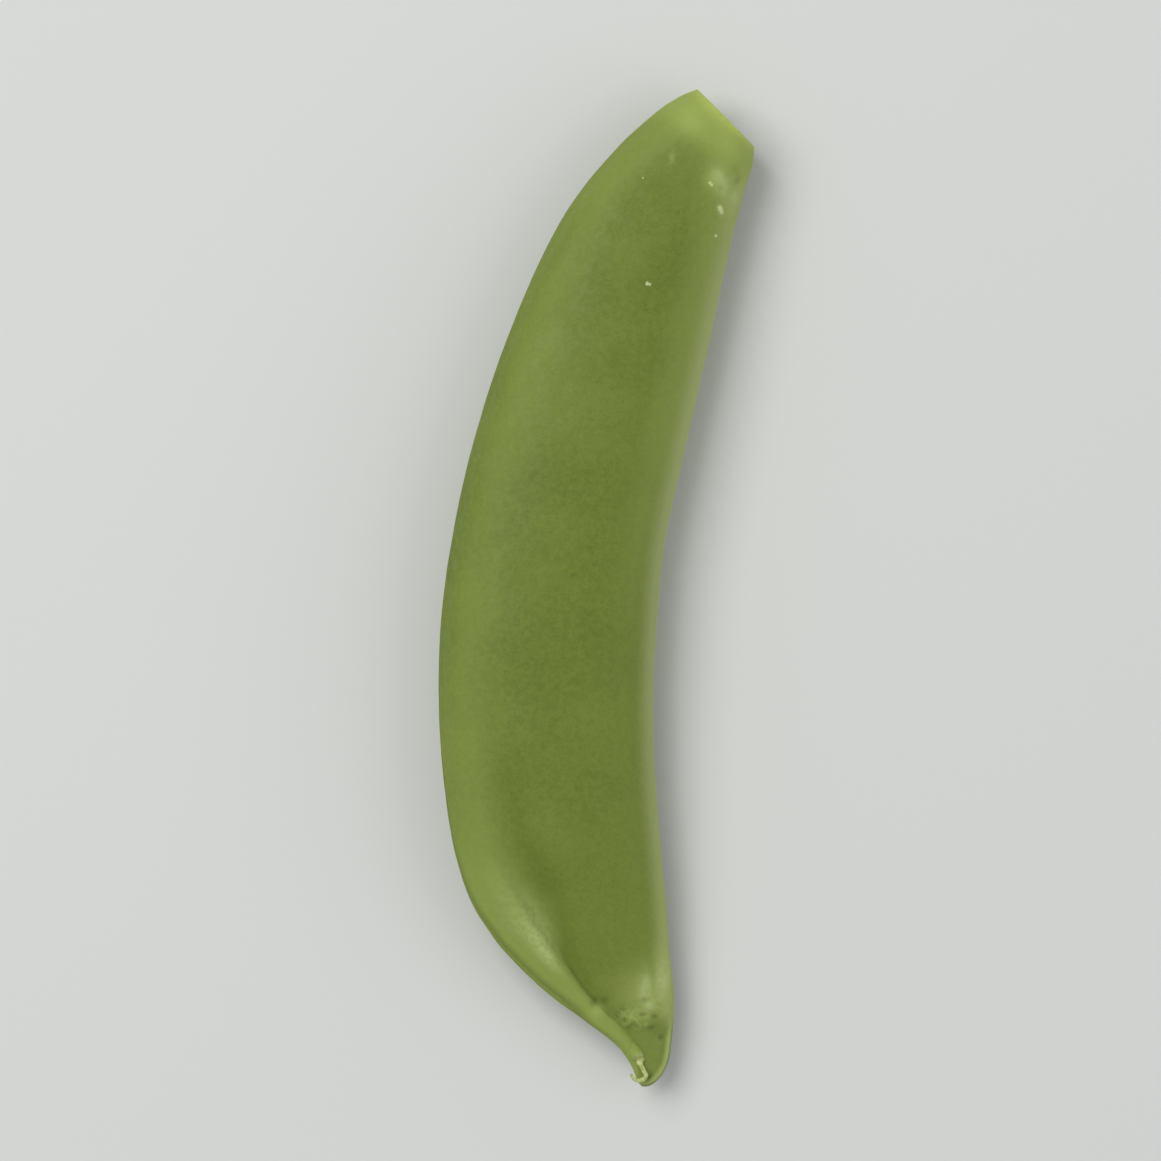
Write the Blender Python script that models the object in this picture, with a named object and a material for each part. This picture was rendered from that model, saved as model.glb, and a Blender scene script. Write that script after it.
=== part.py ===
"""A sugar snap pea pod, as picked, with its stem end trimmed off straight, lying on one broad side.

The real pod grew as one piece, so it is one closed solid. Its shape is a loft from the trimmed stem end to the
tip. The sections change along the way: a stout oval neck, a plump body with a swelling over each pea, and a tip
where the outer rim stands proud as a cord, beside a thin hollow nose. The dried style is a thin tube that leaves
the end of the cord and curls back over the nose.

Lengths in this file are in millimetres until the mesh is made in metres. +Y runs from the tip to the stem end,
+X from the outer, bowed edge to the inner, hollow one, and +Z up from the surface that the pod lies on. The
origin is at the bottom centre of the pod's box.
"""

from math import pi, radians

import bmesh
import bpy
import numpy as np

METRES_PER_MM = 0.001

# Stations from the stem end to the end of the nose. Each is a section: outer edge x, y, inner edge x, y,
# thickness of the faces between the edges, and radius of the outer rim.
STATIONS = (
    (-2.4, 40.2, 2.5, 36.15, 5.4, 1.2),
    (-3.85, 39.37, 2.47, 34.7, 5.6, 1.2),
    (-5.55, 37.95, 2.0, 32.8, 5.9, 1.2),
    (-8.42, 34.82, 1.3, 28.9, 6.8, 1.2),
    (-11.82, 29.56, 0.7, 24.47, 7.9, 1.2),
    (-14.63, 22.31, -0.02, 18.6, 9.0, 1.2),
    (-16.9, 13.8, -1.02, 11.4, 9.5, 1.2),
    (-18.3, 5.3, -1.92, 3.9, 9.6, 1.2),
    (-18.8, -3.4, -1.92, -3.7, 9.5, 1.2),
    (-18.2, -11.6, -1.42, -11.2, 9.0, 1.4),
    (-16.8, -19.3, -0.32, -18.3, 7.9, 1.7),
    (-14.9, -24.8, 0.78, -24.0, 6.0, 1.95),
    (-12.6, -28.1, 1.58, -28.1, 4.8, 1.9),
    (-10.7, -29.95, 2.02, -29.95, 4.0, 1.7),
    (-8.9, -31.45, 2.32, -31.4, 3.5, 1.4),
    (-7.15, -32.7, 2.46, -32.8, 3.2, 1.1),
    (-5.5, -33.75, 2.54, -34.15, 2.8, 0.86),
    (-4.15, -34.62, 2.52, -35.35, 1.3, 0.76),
    (-3.0, -35.3, 2.5, -36.35, 0.9, 0.7),
    (-2.1, -35.92, 2.35, -37.25, 0.85, 0.68),
    (-1.4, -36.5, 2.05, -38.0, 0.9, 0.64),
    (-0.9, -37.1, 1.65, -38.55, 0.9, 0.48),
    (-0.52, -37.65, 1.2, -38.95, 0.9, 0.34),
    (-0.2, -38.25, 0.8, -39.12, 0.7, 0.3),
    (0.1, -38.85, 0.42, -39.15, 0.3, 0.15),
)
BODY_END = 15  # the station where the body starts to fall to the nose
NOSE_START = 17  # and where the nose is at its full depth

# The cord's blunt end, and the dried style that leaves it and curls back over the nose, as one tube: its middle
# line as x, y and height over the middle of the nose, and its radius.
STYLE = (
    (-1.2, -35.78, 0.0, 0.6),
    (-0.8, -36.18, 0.0, 0.68),
    (-0.45, -36.54, 0.02, 0.69),
    (-0.16, -36.86, 0.06, 0.64),
    (0.02, -37.1, 0.16, 0.45),
    (0.1, -37.32, 0.36, 0.25),
    (0.18, -37.54, 0.54, 0.19),
    (0.38, -37.84, 0.68, 0.17),
    (0.58, -38.12, 0.8, 0.17),
    (0.42, -38.46, 0.9, 0.165),
    (0.0, -38.63, 0.95, 0.155),
    (-0.42, -38.47, 0.95, 0.14),
    (-0.7, -38.17, 0.9, 0.1),
)

FACE_POWER = 2.3  # a section's faces: 2 is an ellipse, more is fuller towards the edges
INNER_RIM_RADIUS = 0.8
NOSE_RIM_RADIUS = 0.4
RIM_BLEND_POWER = 5  # how sharply the rims and the faces meet, in the body
TIP_BLEND_POWER = 9  # and in the tip
LEAST_SQUARENESS = 0.5  # sections more aslant than this count as this much

# Seams, as low ribs round a section: distance from the seam's line, height and half-width.
INNER_SEAM = ((0.0, -0.2, 0.17), (0.75, 0.14, 0.32), (1.8, -0.06, 0.5))
OUTER_SEAM = ((0.0, -0.08, 0.12), (0.45, 0.12, 0.24), (1.4, -0.05, 0.4))
SEAM_FADE = (2.0, 0.5)  # the seams fade out between these distances from the end of the nose

# Each pea swells the faces. They lie in a row, from so far behind the stem end.
PEA_COUNT = 7
FIRST_PEA = 13.0
PEA_PITCH = 7.9
PEA_HALF_LENGTH = 2.5
PEA_HALF_WIDTH = 3.4
PEA_SWELL = 0.3

# Towards the tip the outer rim stands up, highest away from its edge, and the faces are hollow beside it.
RIM_SKEW = 2.0  # 1 is a round rim, more moves its crest away from the edge
SEAM_CLIMB = 0.35  # how far its seam turns up onto the upper face
HOLLOW_SHARE = 0.5  # of the thickness, in the nose
HOLLOW_WIDTH = 4.0  # from the rim to where the face is full again
TIP_START = 0.6  # where all this starts, as a share of the way to the body's end

ROLL = radians(6)  # how far the pod leans over towards its inner edge as it rests
TIP_TWIST = radians(4)  # the faces turn this much more by the nose
STEM_LIFT = 0.5
STEM_LENGTH = 30.0  # over which it is lifted
TIP_DROP = 0.8
TIP_DROP_START = 0.8  # where it starts to drop, as a share of the way to the body's end
CUT_SLANT = 0.12  # the cut leans back by this share of the height
CUT_SLANT_LENGTH = 8.0  # from the cut to where the sections are upright
REST_DEPTH = 0.3  # the belly is flattened this much where it rests

STEPS_PER_STATION = 4
RING_POINTS = 40
SEAM_CROWDING = 0.3  # how much closer a ring's points lie at the seams than in the faces
STEPS_PER_STYLE_POINT = 2
STYLE_RESOLUTION = 2
WELD_DISTANCE = 0.001

CUT_LIP = 0.84  # where the cut face's rim ends, as a share of the section
CUT_FLOOR = 0.72
CUT_RECESS = 0.3

POD_GREEN = (0.196, 0.262, 0.052, 1.0)
POD_ROUGHNESS = 0.46


def clear_scene():
    for obj in list(bpy.data.objects):
        bpy.data.objects.remove(obj)


def bell(distance, half_width):
    return np.exp(-0.5 * (distance / half_width) ** 2)


def ease(low, high, value):
    """0 below low, 1 above high, and a smooth rise between them."""
    share = np.clip((value - low) / (high - low), 0, 1)
    return share * share * (3 - 2 * share)


def directions(line):
    """Unit directions along a line of points."""
    along = np.gradient(line, axis=0)
    return along / np.linalg.norm(along, axis=1, keepdims=True)


def smooth_through(rows, steps):
    """A Catmull-Rom curve through the rows, with so many steps from each row to the next."""
    rows = np.asarray(rows, float)
    before = np.vstack([2 * rows[0] - rows[1], rows[:-2]])
    after = np.vstack([rows[2:], 2 * rows[-1] - rows[-2]])
    start, end = rows[:-1, None], rows[1:, None]
    leave = (rows[1:] - before)[:, None] / 2
    arrive = (after - rows[:-1])[:, None] / 2
    share = (np.arange(steps) / steps)[None, :, None]
    curve = (
        start * (2 * share**3 - 3 * share**2 + 1)
        + leave * (share**3 - 2 * share**2 + share)
        + end * (3 * share**2 - 2 * share**3)
        + arrive * (share**3 - share**2)
    )
    return np.vstack([curve.reshape(-1, rows.shape[1]), rows[-1:]])


class Sections:
    """The pod's sections, one row each: its place, its width, and how far along the pod it is."""

    def __init__(self, stations):
        self.outer, self.inner, self.thickness, self.rim_radius = np.split(stations, (2, 4, 5), axis=1)
        self.middle = (self.outer + self.inner) / 2
        width_line = self.inner - self.outer
        self.half_width = np.linalg.norm(width_line, axis=1, keepdims=True) / 2
        self.inwards = width_line / (2 * self.half_width)
        self.stemwards = np.stack([-self.inwards[:, 1], self.inwards[:, 0]], axis=1)
        step = np.linalg.norm(np.diff(self.middle, axis=0), axis=1)
        self.travelled = np.concatenate([[0], np.cumsum(step)])[:, None]
        self.length = self.travelled[-1]
        self.body_end = self.travelled[STEPS_PER_STATION * BODY_END]
        self.nose_start = self.travelled[STEPS_PER_STATION * NOSE_START]
        self.tip_start = TIP_START * self.body_end
        self.in_body = 1 - self.ease_along(self.body_end, self.nose_start)
        self.level = STEM_LIFT * (1 - self.ease_along(0, STEM_LENGTH))
        self.level -= TIP_DROP * self.ease_along(TIP_DROP_START * self.body_end, self.length)

    def ease_along(self, low, high):
        return ease(low, high, self.travelled)

    def squareness(self, edge):
        """How squarely the sections meet an edge: 1 where square to it, less where aslant."""
        share = np.abs((directions(edge) * self.stemwards).sum(1, keepdims=True))
        return np.clip(share, LEAST_SQUARENESS, 1)

    def from_edge(self, edge, ring_x):
        """Each place's distance from an edge, square to it, and the row where the edge is nearest."""
        places = self.middle[:, None] + ring_x[..., None] * self.inwards[:, None]
        apart = places[:, :, None] - edge
        nearest = (apart**2).sum(3).argmin(2)
        gap = places - edge[nearest]
        along = directions(edge)[nearest]
        return np.abs(gap[..., 0] * along[..., 1] - gap[..., 1] * along[..., 0]), nearest


def ring_of_section():
    """Positions round a section: across it from -1 at the outer edge to 1 at the inner one, and which face."""
    turn = 2 * pi * np.arange(RING_POINTS) / RING_POINTS
    turn = turn - SEAM_CROWDING / 2 * np.sin(2 * turn)
    return np.cos(turn)[None], np.sign(np.round(np.sin(turn), 9))[None]


def rim_height(from_edge, radius, skew=1):
    share = np.clip(from_edge / np.maximum(2 * radius, 1e-6), 0, 1) ** skew
    return 2 * radius * np.sqrt(share - share**2)


def pea_swell(pod, ring_x):
    swell = 0
    for pea in range(PEA_COUNT):
        swell = swell + bell(pod.travelled - FIRST_PEA - pea * PEA_PITCH, PEA_HALF_LENGTH)
    return PEA_SWELL * swell * bell(ring_x, PEA_HALF_WIDTH)


def half_thickness(pod, across):
    """Half the thickness at each place across each section: the fullest of its faces and its two rims."""
    ring_x = pod.half_width * across
    from_outer, nearest = pod.from_edge(pod.outer, ring_x)
    from_inner, _ = pod.from_edge(pod.inner, ring_x)
    widest = (from_outer + from_inner) / 2
    rim_radius = np.minimum(pod.rim_radius[nearest, 0], widest)
    in_tip = ease(pod.tip_start, pod.body_end, pod.travelled[nearest, 0])
    faces = pod.thickness / 2 * (1 - np.abs(across) ** FACE_POWER) ** (1 / FACE_POWER)
    faces += pod.in_body * (1 - across**4) * pea_swell(pod, ring_x)
    beside_rim = 1 - ease(2 * rim_radius, 2 * rim_radius + HOLLOW_WIDTH, from_outer)
    faces *= 1 - HOLLOW_SHARE * np.maximum(in_tip * beside_rim, 1 - pod.in_body)
    outer_rim = rim_height(from_outer, rim_radius, 1 + (RIM_SKEW - 1) * in_tip * pod.in_body)
    inner_radius = NOSE_RIM_RADIUS + (INNER_RIM_RADIUS - NOSE_RIM_RADIUS) * pod.in_body
    inner_rim = rim_height(from_inner, np.minimum(inner_radius, widest))
    power = RIM_BLEND_POWER + (TIP_BLEND_POWER - RIM_BLEND_POWER) * in_tip
    return (faces**power + outer_rim**power + inner_rim**power) ** (1 / power)


def seam_relief(distance, ribs):
    relief = 0
    for place, height, half_width in ribs:
        relief = relief + height * bell(np.abs(distance) - place, half_width)
    return relief


def distance_round(ring_x, ring_z, start):
    """Distance round each closed ring from the point numbered start: over the upper face, or below 0."""
    step = np.hypot(np.roll(ring_x, -1, 1) - ring_x, np.roll(ring_z, -1, 1) - ring_z)
    step = np.roll(step, -start, 1)
    one_way = np.cumsum(step, 1) - step
    whole = step.sum(1, keepdims=True)
    distance = np.roll(np.where(one_way < whole / 2, one_way, one_way - whole), start, 1)
    return distance if start == 0 else -distance


def raise_seams(pod, ring_x, ring_z):
    """Moves each ring's points outwards by the relief of the two seams."""
    along_x = np.roll(ring_x, -1, 1) - np.roll(ring_x, 1, 1)
    along_z = np.roll(ring_z, -1, 1) - np.roll(ring_z, 1, 1)
    length = np.hypot(along_x, along_z)
    from_inner = distance_round(ring_x, ring_z, 0) * pod.squareness(pod.inner)
    from_outer = distance_round(ring_x, ring_z, RING_POINTS // 2) * pod.squareness(pod.outer)
    from_outer = from_outer - SEAM_CLIMB * pod.ease_along(pod.tip_start, pod.body_end) * pod.in_body
    inner_strength = 1 - 0.8 * pod.ease_along(0.8 * pod.body_end, pod.nose_start)
    outer_strength = 1 - pod.ease_along(pod.nose_start, pod.length - SEAM_FADE[0])
    relief = inner_strength * seam_relief(from_inner, INNER_SEAM)
    relief += outer_strength * seam_relief(from_outer, OUTER_SEAM)
    relief *= 1 - pod.ease_along(pod.length - SEAM_FADE[0], pod.length - SEAM_FADE[1])
    return ring_x + relief * along_z / length, ring_z - relief * along_x / length


def pod_rings(pod):
    """The pod's surface as rings of points, before it is laid down."""
    across, face = ring_of_section()
    ring_x, ring_z = raise_seams(pod, pod.half_width * across, half_thickness(pod, across) * face)
    twist = TIP_TWIST * pod.ease_along(pod.tip_start, pod.nose_start)
    sideways = ring_x * np.cos(twist) + ring_z * np.sin(twist)
    upwards = ring_z * np.cos(twist) - ring_x * np.sin(twist)
    slant = CUT_SLANT * (1 - pod.ease_along(0, CUT_SLANT_LENGTH)) * upwards
    plan = pod.middle[:, None] + sideways[..., None] * pod.inwards[:, None]
    plan = plan - slant[..., None] * pod.stemwards[:, None]
    return np.concatenate([plan, (upwards + pod.level)[..., None]], axis=2)


def lean(points):
    """Leans the pod over towards its inner edge."""
    x, y, z = np.moveaxis(points, -1, 0)
    return np.stack([x * np.cos(ROLL) + z * np.sin(ROLL), y, z * np.cos(ROLL) - x * np.sin(ROLL)], axis=-1)


def resting_shift(leant):
    """The move that sets the leant pod on the surface, a little sunk in, and centres its box."""
    low, high = leant.min((0, 1)), leant.max((0, 1))
    return -np.array([(low[0] + high[0]) / 2, (low[1] + high[1]) / 2, low[2] + REST_DEPTH])


def cut_face_rings(first, second):
    """Rings inside the trimmed end: a flat lip, then a shallow floor where the cavity starts."""
    centre = first.mean(0)
    inwards = second.mean(0) - centre
    inwards /= np.linalg.norm(inwards)
    lip = centre + (first - centre) * CUT_LIP
    floor = centre + (first - centre) * CUT_FLOOR + inwards * CUT_RECESS
    return floor, lip


def loft(rings):
    """One closed mesh in metres through the rings, with each end closed by a fan."""
    shape = bmesh.new()
    loops = [[shape.verts.new(point) for point in ring] for ring in np.array(rings) * METRES_PER_MM]
    for here, there in zip(loops, loops[1:]):
        for i in range(len(here)):
            j = (i + 1) % len(here)
            shape.faces.new((here[i], here[j], there[j], there[i]))
    for loop in (loops[0], loops[-1]):
        centre = sum((vertex.co for vertex in loop[1:]), loop[0].co.copy()) / len(loop)
        hub = shape.verts.new(centre)
        for i in range(len(loop)):
            shape.faces.new((loop[i], loop[(i + 1) % len(loop)], hub))
    bmesh.ops.recalc_face_normals(shape, faces=shape.faces)
    mesh = bpy.data.meshes.new("pod")
    shape.to_mesh(mesh)
    shape.free()
    mesh.shade_smooth()
    mesh.set_sharp_from_angle(angle=radians(40))
    return mesh


def style_curve(pod, shift):
    """The dried style as a curve whose thickness changes along it."""
    line = smooth_through(STYLE, STEPS_PER_STYLE_POINT)
    nearest = ((line[:, None, :2] - pod.middle) ** 2).sum(2).argmin(1)
    line[:, 2] += pod.level[nearest, 0]
    curve = bpy.data.curves.new("style", "CURVE")
    curve.dimensions = "3D"
    curve.bevel_depth = METRES_PER_MM
    curve.bevel_resolution = STYLE_RESOLUTION
    curve.use_fill_caps = True
    spline = curve.splines.new("POLY")
    spline.points.add(len(line) - 1)
    for point, place, radius in zip(spline.points, lean(line[:, :3]) + shift, line[:, 3]):
        point.co = (*(place * METRES_PER_MM), 1)
        point.radius = radius
    return curve


def mesh_from_curve(collection, curve):
    """A closed mesh object made from a curve, in its place."""
    drawn = bpy.data.objects.new(curve.name, curve)
    collection.objects.link(drawn)
    view = bpy.context.evaluated_depsgraph_get()
    mesh = bpy.data.meshes.new_from_object(drawn.evaluated_get(view))
    shape = bmesh.new()
    shape.from_mesh(mesh)
    bmesh.ops.remove_doubles(shape, verts=shape.verts, dist=WELD_DISTANCE * METRES_PER_MM)
    shape.to_mesh(mesh)
    shape.free()
    solid = bpy.data.objects.new(curve.name, mesh)
    solid.matrix_world = drawn.matrix_world
    collection.objects.link(solid)
    bpy.data.objects.remove(drawn)
    return solid


def join(body, addition):
    """Makes the addition part of the body's solid, and leaves it as a guide only."""
    union = body.modifiers.new("union", "BOOLEAN")
    union.operation = "UNION"
    union.solver = "EXACT"
    union.object = addition
    addition.hide_render = True
    addition.display_type = "WIRE"


def pod_material():
    material = bpy.data.materials.new("pod_skin")
    material.use_nodes = True
    shader = material.node_tree.nodes["Principled BSDF"]
    shader.inputs["Base Color"].default_value = POD_GREEN
    shader.inputs["Roughness"].default_value = POD_ROUGHNESS
    shader.inputs["Metallic"].default_value = 0
    return material


def add_collection(name):
    collection = bpy.data.collections.new(name)
    bpy.context.scene.collection.children.link(collection)
    return collection


def main():
    clear_scene()
    pod = Sections(smooth_through(STATIONS, STEPS_PER_STATION))
    leant = lean(pod_rings(pod))
    shift = resting_shift(leant)
    surface = leant + shift
    surface[..., 2] = np.maximum(surface[..., 2], 0)
    mesh = loft([*cut_face_rings(surface[0], surface[1]), *surface])
    mesh.materials.append(pod_material())
    body = bpy.data.objects.new("pod", mesh)
    add_collection("sugar_snap_pea_pod").objects.link(body)
    join(body, mesh_from_curve(add_collection("guides"), style_curve(pod, shift)))


main()
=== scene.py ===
"""The looks of a sugar snap pea pod that lies on one broad side, seen from above.

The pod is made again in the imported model's place and by the same rule: a loft of sections from the
trimmed stem end to the tip, with the dried style as a tube. Here the mesh is fine, and has the small
forms that the model leaves out. Masks worked out from the shape drive the skin's material.

Lengths are in millimetres until the mesh is made in metres. +Y runs from the tip to the stem end, +X
from the outer, bowed edge to the inner, hollow one, and +Z up from the floor.
"""

from math import pi, radians

import bpy
import numpy as np
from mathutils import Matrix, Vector, noise


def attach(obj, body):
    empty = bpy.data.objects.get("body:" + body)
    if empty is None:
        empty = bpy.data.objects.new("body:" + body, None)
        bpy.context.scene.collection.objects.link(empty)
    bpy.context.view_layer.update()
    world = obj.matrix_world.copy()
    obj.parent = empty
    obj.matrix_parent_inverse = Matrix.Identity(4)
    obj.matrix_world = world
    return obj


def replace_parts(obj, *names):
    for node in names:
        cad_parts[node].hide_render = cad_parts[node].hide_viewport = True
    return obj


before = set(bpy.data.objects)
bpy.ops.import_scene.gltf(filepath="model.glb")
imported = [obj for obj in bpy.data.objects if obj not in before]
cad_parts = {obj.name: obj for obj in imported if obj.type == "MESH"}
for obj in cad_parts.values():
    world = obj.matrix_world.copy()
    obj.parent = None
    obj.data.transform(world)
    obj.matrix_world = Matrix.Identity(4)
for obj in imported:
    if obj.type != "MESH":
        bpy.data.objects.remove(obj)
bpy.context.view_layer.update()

METRES_PER_MM = 0.001

# Stations from the stem end to the end of the tip. Each is a section: its outer edge's x and y, its inner
# edge's x and y, the thickness of the faces between them, and the radius of the outer rim.
STATIONS = (
    (-2.4, 40.2, 2.5, 36.15, 5.4, 1.2),
    (-3.85, 39.37, 2.47, 34.7, 5.6, 1.2),
    (-5.55, 37.95, 2.0, 32.8, 5.9, 1.2),
    (-8.42, 34.82, 1.3, 28.9, 6.8, 1.2),
    (-11.82, 29.56, 0.7, 24.47, 7.9, 1.2),
    (-14.63, 22.31, -0.02, 18.6, 9.0, 1.2),
    (-16.9, 13.8, -1.02, 11.4, 9.5, 1.2),
    (-18.3, 5.3, -1.92, 3.9, 9.6, 1.2),
    (-18.8, -3.4, -1.92, -3.7, 9.5, 1.2),
    (-18.2, -11.6, -1.42, -11.2, 9.0, 1.4),
    (-16.8, -19.3, -0.32, -18.3, 7.9, 1.7),
    (-14.9, -24.8, 0.78, -24.0, 6.0, 1.95),
    (-12.6, -28.1, 1.58, -28.1, 4.8, 1.9),
    (-10.7, -29.95, 2.02, -29.95, 4.0, 1.7),
    (-8.9, -31.45, 2.32, -31.4, 3.5, 1.4),
    (-7.15, -32.7, 2.46, -32.8, 3.2, 1.1),
    (-5.5, -33.75, 2.54, -34.15, 2.8, 0.86),
    (-4.15, -34.62, 2.52, -35.35, 1.3, 0.76),
    (-3.0, -35.3, 2.5, -36.35, 0.9, 0.7),
    (-2.1, -35.92, 2.35, -37.25, 0.85, 0.68),
    (-1.4, -36.5, 2.05, -38.0, 0.9, 0.64),
    (-0.9, -37.1, 1.65, -38.55, 0.9, 0.48),
    (-0.52, -37.65, 1.2, -38.95, 0.9, 0.34),
    (-0.2, -38.25, 0.8, -39.12, 0.7, 0.3),
    (0.1, -38.85, 0.42, -39.15, 0.3, 0.15),
)
BODY_END = 15  # the station where the body starts to thin out
NOSE_START = 17  # and where it has become the thin, hollow nose

# The cord's blunt end, and the dried style that leaves it and curls back over the nose, as one tube:
# its middle line as x, y and height over the middle of the nose, and its radius.
STYLE = (
    (-1.2, -35.78, 0.0, 0.6),
    (-0.8, -36.18, 0.0, 0.68),
    (-0.45, -36.54, 0.02, 0.69),
    (-0.16, -36.86, 0.06, 0.64),
    (0.02, -37.1, 0.16, 0.45),
    (0.1, -37.32, 0.36, 0.25),
    (0.18, -37.54, 0.54, 0.19),
    (0.38, -37.84, 0.68, 0.17),
    (0.58, -38.12, 0.8, 0.17),
    (0.42, -38.46, 0.9, 0.165),
    (0.0, -38.63, 0.95, 0.155),
    (-0.42, -38.47, 0.95, 0.14),
    (-0.7, -38.17, 0.9, 0.1),
)

DRY_FROM = (3.3, 5.0)  # the style's skin turns dry between these of its points
SCAR_POINT = 3  # by this of its points there is a pale scar
SCAR_SHIFT = (0.25, 0.05, 0.5)  # so far off the style's middle line
SCAR_RADIUS = 0.28
SHRIVEL_RIPPLES = 3  # round the style's shrivelled skin
SHRIVEL_DEPTH = 0.1  # of the style's radius
SHRIVEL_TURN = 0.17  # of the ripples, from each ring of the style to the next
SHRIVEL_RADII = (0.6, 0.2)  # the ripples start below the first of these, and are full below the second

FACE_POWER = 2.3  # a section's faces: 2 is an ellipse, more is fuller towards the edges
INNER_RIM_RADIUS = 0.8
NOSE_RIM_RADIUS = 0.4
RIM_BLEND_POWER = 5  # how sharply the rims and the faces meet, in the body
TIP_BLEND_POWER = 9  # and in the tip
LEAST_SQUARENESS = 0.5  # sections more aslant than this count as this much

# Seams, as low ribs round a section: distance from the seam's line, height and half-width.
INNER_SEAM = ((0.0, -0.2, 0.17), (0.75, 0.14, 0.32), (1.8, -0.06, 0.5))
OUTER_SEAM = ((0.0, -0.08, 0.12), (0.45, 0.12, 0.24), (1.4, -0.05, 0.4))
INNER_SEAM_FADE_START = 0.8  # as a share of the body's length
INNER_SEAM_LOSS = 0.8  # the share of it that is gone by the nose
SEAMS_END = (2.0, 0.5)  # both fade out between these distances from the end of the nose

# Each pea swells the faces. They lie in a row, from so far behind the stem end.
PEA_COUNT = 7
FIRST_PEA = 13.0
PEA_PITCH = 7.9
PEA_HALF_LENGTH = 2.5
PEA_HALF_WIDTH = 3.4
PEA_SWELL = 0.3
PEA_EDGE_POWER = 4  # how sharply the swelling ends at the edges

# Towards the tip the outer rim stands up, highest away from its edge, and the faces are hollow beside it.
RIM_SKEW = 2.0  # 1 is a round rim, more moves its crest away from the edge
SEAM_CLIMB = 0.35  # how far its seam turns up onto the upper face
HOLLOW_SHARE = 0.5  # of the thickness, in the nose
HOLLOW_WIDTH = 4.0  # from the rim to where the face is full again
TIP_START = 0.6  # where all this starts, as a share of the body's length

ROLL = radians(6)  # how far the pod leans over towards its inner edge as it rests
TIP_TWIST = radians(4)  # the faces turn this much more by the nose
STEM_LIFT = 0.5
STEM_LENGTH = 30.0  # over which it is lifted
TIP_DROP = 0.8
DROP_START = 0.8  # where the tip starts to drop, as a share of the body's length
CUT_SLANT = 0.12  # the cut leans back by this share of the height
CUT_SLANT_LENGTH = 8.0  # from the cut to where the sections are upright
REST_DEPTH = 0.3  # the belly is flattened this much where it rests

# The mesh: the spacing of its rings at places along the pod, both as lengths.
DENSE_STEPS = 40
RING_SPACING = ((0, 0.2), (2, 0.29), (50, 0.29), (60, 0.17), (74, 0.11), (80, 0.08))
RING_POINTS = 208
STYLE_STEPS = 16
STYLE_POINTS = 40
SEAM_CROWDING = 0.5  # how much closer a ring's points lie at the seams than in the faces

SEED_SHIFT = 37.0  # moves all noise to another part of its field
WAVE_SIZE, WAVE_HEIGHT = 7.0, 0.05
DIMPLE_SIZE, DIMPLE_HEIGHT = 1.9, 0.022
ROUGH_FROM = (0.0, 0.6)  # heights over the floor between which the waves and dimples rise

# Marks on the skin, in the plan of the pod as it lies: x, y, half-width, half-length and turn from the
# pod's length in degrees, anticlockwise.
SOFT_PATCHES = (
    (5.6, 37.0, 0.75, 0.95, 35),
    (6.9, 38.0, 0.5, 1.5, 45),
    (8.3, 36.7, 0.6, 1.8, 42),
    (8.43, 35.49, 0.3, 0.3, 0),
    (9.4, 31.2, 0.45, 1.6, -12),
    (8.2, -32.2, 1.7, 1.6, 0),
    (9.4, -30.6, 0.8, 2.4, 0),
    (7.6, -33.9, 1.2, 0.6, 10),
    (4.39, -33.96, 0.4, 0.4, 0),
    (4.24, 33.88, 0.12, 0.35, 0),
    (7.7, 32.5, 0.5, 0.6, 0),
)
SCUFFS = (
    (8.15, 32.8, 0.42, 0.7, 30),
    (8.42, 30.2, 0.14, 0.32, 25),
    (8.55, 32.05, 0.45, 0.7, 10),
    (9.5, 31.3, 0.3, 0.8, -12),
    (8.03, -31.9, 0.32, 1.0, 0),
    (8.45, -33.1, 0.35, 0.35, 0),
    (9.3, -31.0, 0.4, 1.2, 0),
)
PITS = (
    (4.07, -33.23, 0.26, 0.18, 80),
    (4.93, -33.07, 0.28, 0.18, 80),
    (6.01, -34.19, 0.28, 0.28, 0),
    (6.45, -33.8, 0.16, 0.22, 40),
    (7.15, -35.02, 0.26, 0.16, 50),
    (8.96, -34.02, 0.2, 0.16, 0),
    (9.6, -35.71, 0.12, 0.15, 0),
    (8.07, -32.83, 0.16, 0.16, 0),
    (7.99, -33.97, 0.18, 0.13, 0),
    (6.54, -34.55, 0.2, 0.14, 60),
    (8.73, -35.06, 0.18, 0.16, 0),
    (9.45, 33.5, 0.2, 0.35, 30),
    (9.62, 32.75, 0.16, 0.35, -20),
    (-0.29, 5.44, 0.12, 0.12, 0),
    (-0.58, 0.43, 0.12, 0.12, 0),
    (-2.41, -6.87, 0.12, 0.12, 0),
)
PIT_DEPTH = 0.1
CURLY = ((7.4, -34.3, 0.85, 0.5, -25), (8.9, -32.9, 0.6, 0.6, 0))  # fine pale curls on the skin
# Small pale specks, in the same plan: x, y and radius.
SPECKS = (
    (7.4, 32.2, 0.12),
    (7.55, 32.07, 0.12),
    (8.34, 30.36, 0.16),
    (8.43, 30.2, 0.18),
    (8.53, 30.04, 0.15),
    (8.25, 28.12, 0.12),
    (3.15, 23.75, 0.14),
    (3.34, 23.72, 0.12),
    (2.05, 32.11, 0.07),
)

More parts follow.
